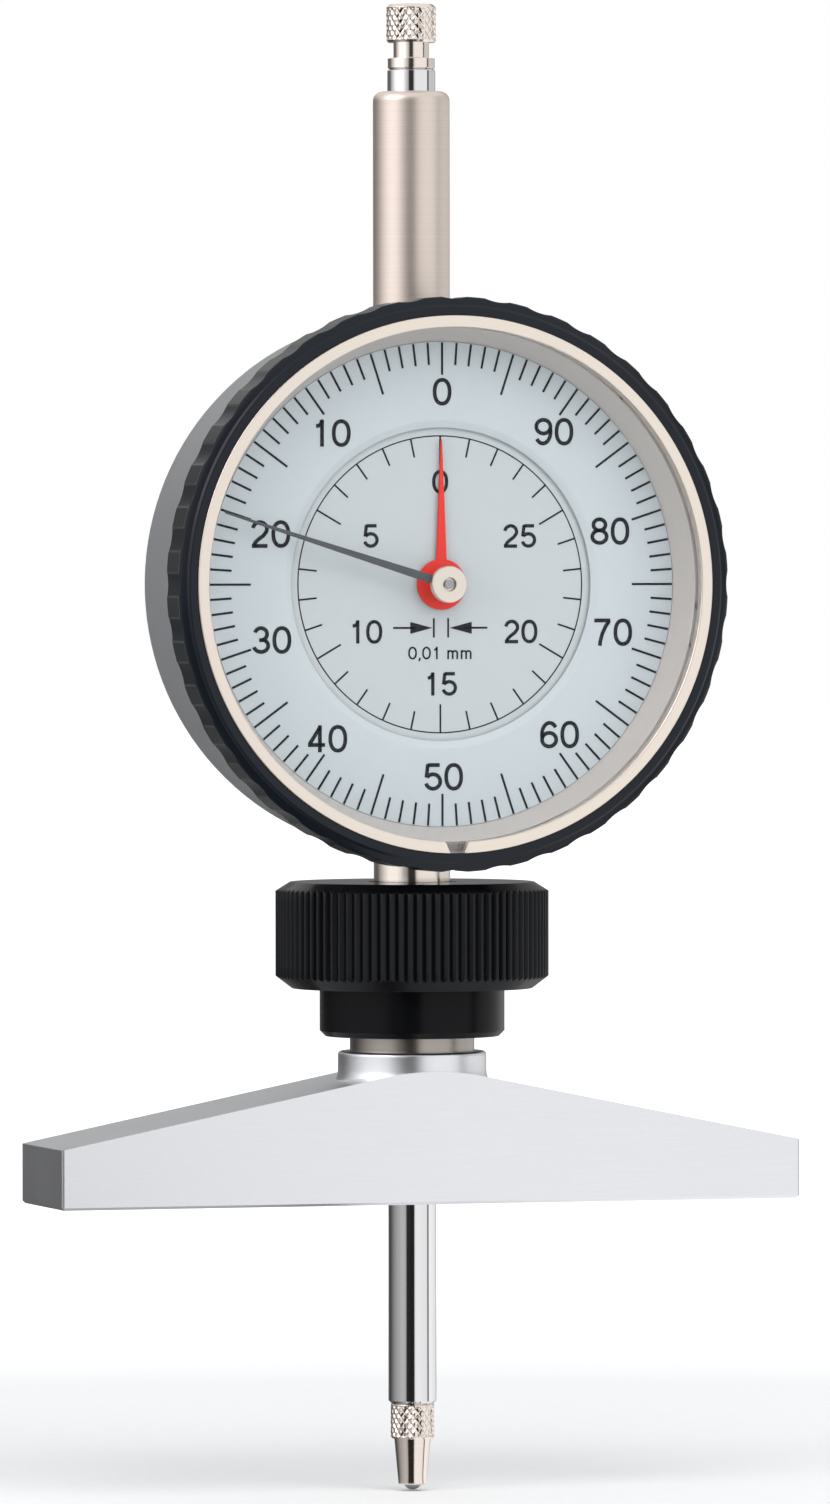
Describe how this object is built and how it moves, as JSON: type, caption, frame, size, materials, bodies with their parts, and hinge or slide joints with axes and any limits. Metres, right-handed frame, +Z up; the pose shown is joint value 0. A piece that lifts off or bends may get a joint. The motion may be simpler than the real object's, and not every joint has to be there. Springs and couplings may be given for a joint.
{
  "type": "dial depth gauge",
  "caption": "Dial depth gauge: dial indicator on an 8 mm stem, held by a knurled collet nut over a ground measuring bridge, with a sprung spindle through the measuring face.",
  "frame": {"origin": "Centre of the bridge's measuring face, on the spindle's axis.", "axes": "+Z runs up the spindle from the measuring face, +X runs to the right along the bridge as the dial is read, and the dial faces -Y."},
  "size_m": [0.08, 0.0304, 0.1549],
  "materials": {
    "ground_steel": "finely ground steel with lapped working face",
    "satin_nickel": "satin nickel plate, slightly warm",
    "black_anodised": "black anodised aluminium",
    "bezel_black": "semi-gloss blue-black anodised aluminium",
    "case_grey": "satin mid-grey paint on die-cast metal",
    "polished_steel": "hardened and polished stainless steel",
    "spring_steel": "bright spring wire",
    "brass": "turned and milled brass",
    "carbide": "polished tungsten carbide",
    "dial_face": "matt pale blue-grey dial paint with printed black scale",
    "carrier_grey": "satin turned aluminium",
    "red_hand": "satin red paint",
    "dark_paint": "satin dark grey paint and print",
    "crystal": "clear polished crystal"
  },
  "bodies": {
    "base": {"measuring_bridge": "ground_steel", "clamp_sleeve": "satin_nickel"},
    "nut_thread": {"thrust_ring": "polished_steel"},
    "nut": {"clamp_nut": "black_anodised"},
    "collet": {"split_collet": "satin_nickel"},
    "gauge": {"case_shell": "case_grey", "stem": "satin_nickel", "lower_bush": "brass", "upper_tube": "satin_nickel", "upper_bush": "brass", "back_cover": "case_grey", "back_cover_screws": "polished_steel", "front_plate": "brass", "middle_plate": "brass", "plate_pillars": "brass", "plate_screws": "polished_steel", "movement_screws": "polished_steel", "rear_bridge": "brass", "bridge_posts": "brass", "bridge_screws": "polished_steel", "pivot_bushes": "brass", "spring_post": "polished_steel", "return_spring": "spring_steel", "hairspring_stud": "polished_steel", "inner_dial": "dial_face"},
    "measuring_spindle": {"spindle": "polished_steel", "guide_pin": "polished_steel", "contact_point": "polished_steel", "carbide_ball": "carbide", "lifting_cap": "satin_nickel"},
    "drive": {"pinion_arbor": "polished_steel", "drive_gear": "brass", "reduction_pinion": "polished_steel"},
    "centre": {"centre_arbor": "polished_steel", "main_pointer": "dark_paint", "pointer_hub": "satin_nickel"},
    "mm_hand": {"mm_wheel": "brass", "mm_pipe": "polished_steel", "mm_pointer": "red_hand"},
    "takeup": {"takeup_arbor": "polished_steel", "takeup_gear": "brass", "hairspring": "spring_steel"},
    "bezel": {"bezel_ring": "bezel_black", "bezel_spring": "spring_steel", "dial_carrier": "carrier_grey", "outer_dial": "dial_face", "crystal": "crystal", "snap_ring": "satin_nickel"}
  },
  "joints": [
    {"name": "nut_rise", "type": "slide", "parent": "base", "child": "nut_thread", "axis": [0, 0, 1], "range_m": [0, 0.00075]},
    {"name": "nut_turn", "type": "hinge", "parent": "nut_thread", "child": "nut", "pos_m": [0, 0, 0.025], "axis": [0, 0, 1], "range_deg": [0, 270.1]},
    {"name": "gauge_turn", "type": "hinge", "parent": "base", "child": "collet", "pos_m": [0, 0, 0.02], "axis": [0, 0, 1], "continuous": true},
    {"name": "gauge_height", "type": "slide", "parent": "collet", "child": "gauge", "axis": [0, 0, 1], "range_m": [0, 0.006]},
    {"name": "spindle_slide", "type": "slide", "parent": "gauge", "child": "measuring_spindle", "axis": [0, 0, 1], "range_m": [0, 0.0302], "stiffness_N_per_m": 33, "springref_m": -0.03, "deforming": ["return_spring"]},
    {"name": "drive_turn", "type": "hinge", "parent": "gauge", "child": "drive", "pos_m": [-0.00359, 0, 0.0747], "axis": [0, 1, 0], "range_deg": [-1088, 0]},
    {"name": "centre_turn", "type": "hinge", "parent": "gauge", "child": "centre", "pos_m": [0, 0, 0.0643], "axis": [0, 1, 0], "range_deg": [0, 10873]},
    {"name": "mm_turn", "type": "hinge", "parent": "gauge", "child": "mm_hand", "pos_m": [0, 0, 0.0643], "axis": [0, 1, 0], "range_deg": [0, 362.6]},
    {"name": "takeup_turn", "type": "hinge", "parent": "gauge", "child": "takeup", "pos_m": [0.00778, 0, 0.05652], "axis": [0, 1, 0], "range_deg": [-1088, 0], "deforming": ["hairspring"]},
    {"name": "bezel_turn", "type": "hinge", "parent": "gauge", "child": "bezel", "pos_m": [0, 0, 0.0643], "axis": [0, 1, 0], "continuous": true}
  ],
  "couplings": [
    {"joint": "nut_turn", "follows": "nut_rise", "rad_per_m": 6283.2},
    {"joint": "drive_turn", "follows": "spindle_slide", "rad_per_m": -628.32},
    {"joint": "centre_turn", "follows": "spindle_slide", "rad_per_m": 6283.2},
    {"joint": "mm_turn", "follows": "spindle_slide", "rad_per_m": 209.44},
    {"joint": "takeup_turn", "follows": "spindle_slide", "rad_per_m": -628.32}
  ]
}
